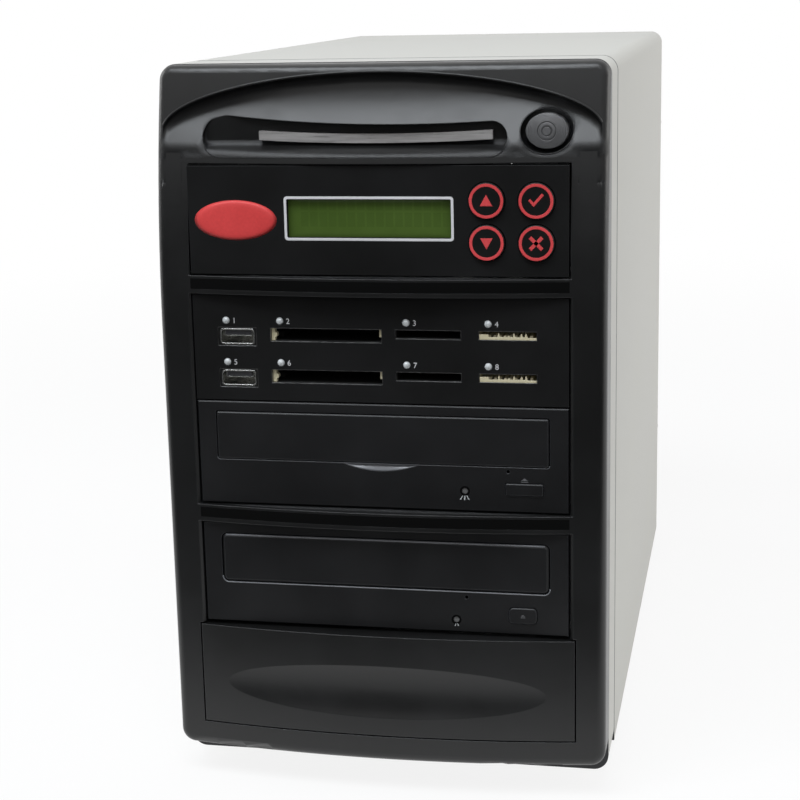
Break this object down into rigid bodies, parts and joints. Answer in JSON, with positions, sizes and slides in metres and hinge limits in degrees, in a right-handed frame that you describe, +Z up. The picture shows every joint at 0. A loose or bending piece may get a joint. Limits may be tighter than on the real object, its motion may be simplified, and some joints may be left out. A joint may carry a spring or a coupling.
{
  "type": "disc duplicator tower",
  "caption": "Upright disc copying tower with a bowed black front, controller display and keys, card reader panel, sliding disc trays and a light grey steel case.",
  "frame": {"origin": "middle of the footprint, on the floor", "axes": "+X to the right of someone facing the front, +Y to the back, +Z up; the front faces -Y"},
  "size_m": [0.1764, 0.3696, 0.292],
  "materials": {
    "bezel_plastic": "satin black moulding with a fine grain",
    "case_paint": "satin light grey paint",
    "zinc_steel": "zinc-plated sheet",
    "clear_acrylic": "cloudy clear acrylic",
    "foot_rubber": "matt",
    "plated_screw": "bright plated",
    "button_plastic": "turned satin rings",
    "inner_plastic": "black",
    "spring_steel": "drawn wire",
    "panel_black": "flat black",
    "display_green": "green display glass",
    "board_green": "solder resist",
    "key_black": "satin black with a red printed ring",
    "lamp_clear": "unlit lens",
    "port_steel": "tinned steel",
    "socket_black": "black",
    "socket_cream": "cream",
    "drive_plastic": "fine grain black",
    "rotor_grey": "dark grey",
    "tray_plastic": "black",
    "gear_white": "white acetal",
    "guard_chrome": "bright wire",
    "rocker_plastic": "gloss black"
  },
  "bodies": {
    "tower": {"front_bezel": "bezel_plastic", "front_frame": "case_paint", "base_tray": "zinc_steel", "wrap_cover": "case_paint", "rear_panel": "zinc_steel", "bay_rail_left": "zinc_steel", "bay_rail_right": "zinc_steel", "bay_blank": "bezel_plastic", "light_strip": "clear_acrylic", "feet": "foot_rubber", "thumbscrews": "plated_screw", "chassis_screws": "plated_screw", "power_switch": "inner_plastic", "button_spring": "spring_steel", "control_panel": "panel_black", "display_module": "display_green", "control_board": "board_green", "card_panel": "panel_black", "card_lamps": "lamp_clear", "card_boards": "board_green", "usb_sockets": "port_steel", "wide_sockets": "socket_black", "small_sockets": "socket_black", "stick_sockets": "socket_cream", "drive_lamps": "lamp_clear", "drive_boards": "board_green", "psu_case": "zinc_steel", "psu_fan_frame": "inner_plastic", "psu_fan_guard": "guard_chrome", "power_inlet": "inner_plastic", "switch_frame": "inner_plastic", "case_fan_frame": "inner_plastic", "drive_1_case": "zinc_steel", "drive_1_mask": "drive_plastic", "drive_1_base": "inner_plastic", "drive_1_traverse": "zinc_steel", "drive_2_case": "zinc_steel", "drive_2_mask": "drive_plastic", "drive_2_base": "inner_plastic", "drive_2_traverse": "zinc_steel"},
    "power_button": {"power_button": "button_plastic"},
    "key_up": {"key_up": "key_black"},
    "key_down": {"key_down": "key_black"},
    "key_enter": {"key_enter": "key_black"},
    "key_escape": {"key_escape": "key_black"},
    "switch_rocker": {"switch_rocker": "rocker_plastic"},
    "psu_fan_rotor": {"psu_fan_rotor": "inner_plastic"},
    "case_fan_rotor": {"case_fan_rotor": "inner_plastic"},
    "drive_1_tray": {"drive_1_tray": "tray_plastic", "drive_1_door": "drive_plastic"},
    "drive_1_eject": {"drive_1_eject": "drive_plastic"},
    "drive_1_spindle": {"drive_1_spindle": "rotor_grey"},
    "drive_1_pickup": {"drive_1_pickup": "rotor_grey"},
    "drive_1_gear": {"drive_1_gear": "gear_white"},
    "drive_2_tray": {"drive_2_tray": "tray_plastic", "drive_2_door": "drive_plastic"},
    "drive_2_eject": {"drive_2_eject": "drive_plastic"},
    "drive_2_spindle": {"drive_2_spindle": "rotor_grey"},
    "drive_2_pickup": {"drive_2_pickup": "rotor_grey"},
    "drive_2_gear": {"drive_2_gear": "gear_white"}
  },
  "joints": [
    {"name": "power_press", "type": "slide", "parent": "tower", "child": "power_button", "axis": [0, 1, 0], "range_m": [0, 0.002], "stiffness_N_per_m": 400, "springref_m": -0.001, "deforming": ["button_spring"]},
    {"name": "key_up_press", "type": "slide", "parent": "tower", "child": "key_up", "axis": [0, 1, 0], "range_m": [0, 0.001], "stiffness_N_per_m": 500, "springref_m": -0.0006},
    {"name": "key_down_press", "type": "slide", "parent": "tower", "child": "key_down", "axis": [0, 1, 0], "range_m": [0, 0.001], "stiffness_N_per_m": 500, "springref_m": -0.0006},
    {"name": "key_enter_press", "type": "slide", "parent": "tower", "child": "key_enter", "axis": [0, 1, 0], "range_m": [0, 0.001], "stiffness_N_per_m": 500, "springref_m": -0.0006},
    {"name": "key_escape_press", "type": "slide", "parent": "tower", "child": "key_escape", "axis": [0, 1, 0], "range_m": [0, 0.001], "stiffness_N_per_m": 500, "springref_m": -0.0006},
    {"name": "drive_1_tray_slide", "type": "slide", "parent": "tower", "child": "drive_1_tray", "axis": [0, -1, 0], "range_m": [0, 0.136]},
    {"name": "drive_1_eject_press", "type": "slide", "parent": "tower", "child": "drive_1_eject", "axis": [0, 1, 0], "range_m": [0, 0.0008], "stiffness_N_per_m": 500, "springref_m": -0.0006},
    {"name": "drive_1_spin", "type": "hinge", "parent": "tower", "child": "drive_1_spindle", "pos_m": [0, -0.10825, 0.1324], "axis": [0, 0, 1], "continuous": true},
    {"name": "drive_1_pickup_slide", "type": "slide", "parent": "tower", "child": "drive_1_pickup", "axis": [0, 1, 0], "range_m": [0, 0.034]},
    {"name": "drive_1_gear_turn", "type": "hinge", "parent": "tower", "child": "drive_1_gear", "pos_m": [-0.0405, -0.15705, 0.1386], "axis": [0, 0, 1], "range_deg": [-5, 760]},
    {"name": "drive_2_tray_slide", "type": "slide", "parent": "tower", "child": "drive_2_tray", "axis": [0, -1, 0], "range_m": [0, 0.136]},
    {"name": "drive_2_eject_press", "type": "slide", "parent": "tower", "child": "drive_2_eject", "axis": [0, 1, 0], "range_m": [0, 0.0008], "stiffness_N_per_m": 500, "springref_m": -0.0006},
    {"name": "drive_2_spin", "type": "hinge", "parent": "tower", "child": "drive_2_spindle", "pos_m": [0, -0.10825, 0.081], "axis": [0, 0, 1], "continuous": true},
    {"name": "drive_2_pickup_slide", "type": "slide", "parent": "tower", "child": "drive_2_pickup", "axis": [0, 1, 0], "range_m": [0, 0.034]},
    {"name": "drive_2_gear_turn", "type": "hinge", "parent": "tower", "child": "drive_2_gear", "pos_m": [-0.0405, -0.15705, 0.0872], "axis": [0, 0, 1], "range_deg": [-5, 760]},
    {"name": "rocker_tilt", "type": "hinge", "parent": "tower", "child": "switch_rocker", "pos_m": [0.042, 0.17475, 0.22], "axis": [1, 0, 0], "range_deg": [-8, 8]},
    {"name": "psu_fan_spin", "type": "hinge", "parent": "tower", "child": "psu_fan_rotor", "pos_m": [-0.024, 0.16575, 0.24], "axis": [0, 1, 0], "continuous": true},
    {"name": "case_fan_spin", "type": "hinge", "parent": "tower", "child": "case_fan_rotor", "pos_m": [0, 0.16575, 0.104], "axis": [0, 1, 0], "continuous": true}
  ],
  "couplings": [
    {"joint": "drive_1_gear_turn", "follows": "drive_1_tray_slide", "rad_per_m": 95.238},
    {"joint": "drive_2_gear_turn", "follows": "drive_2_tray_slide", "rad_per_m": 95.238}
  ]
}
